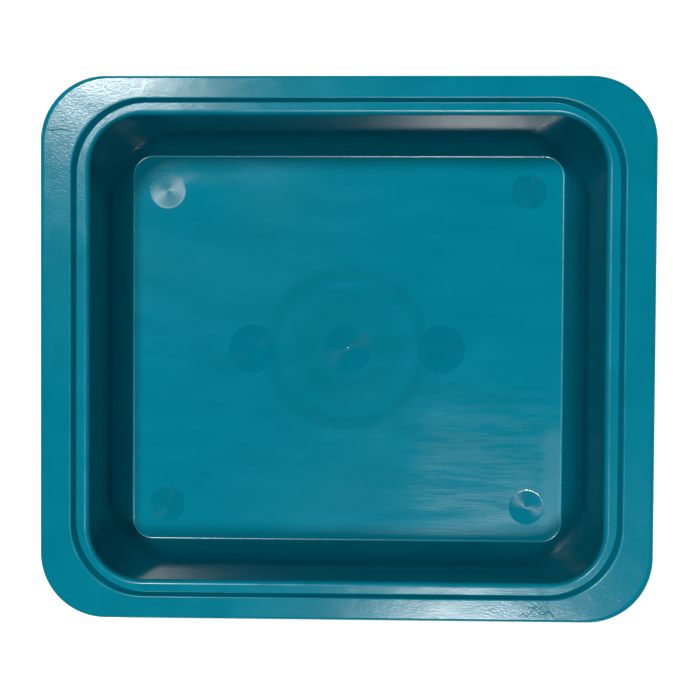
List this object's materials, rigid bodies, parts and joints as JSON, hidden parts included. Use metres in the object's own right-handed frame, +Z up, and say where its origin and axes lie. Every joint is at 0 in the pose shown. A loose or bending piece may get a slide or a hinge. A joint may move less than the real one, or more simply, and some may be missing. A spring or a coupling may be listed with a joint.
{
  "type": "rectangular hospital dish",
  "caption": "Deep rectangular moulded dish with rounded corners, a flat downturned rim flange and a stepped seat for a lid.",
  "frame": {"origin": "middle of the face that the dish stands on", "axes": "+Z up, +X along the long side, +Y along the short side"},
  "size_m": [0.31, 0.2744, 0.084],
  "materials": {
    "teal_polypropylene": "satin moulded polypropylene, opaque deep teal"
  },
  "bodies": {
    "root": {"dish": "teal_polypropylene"}
  },
  "joints": []
}
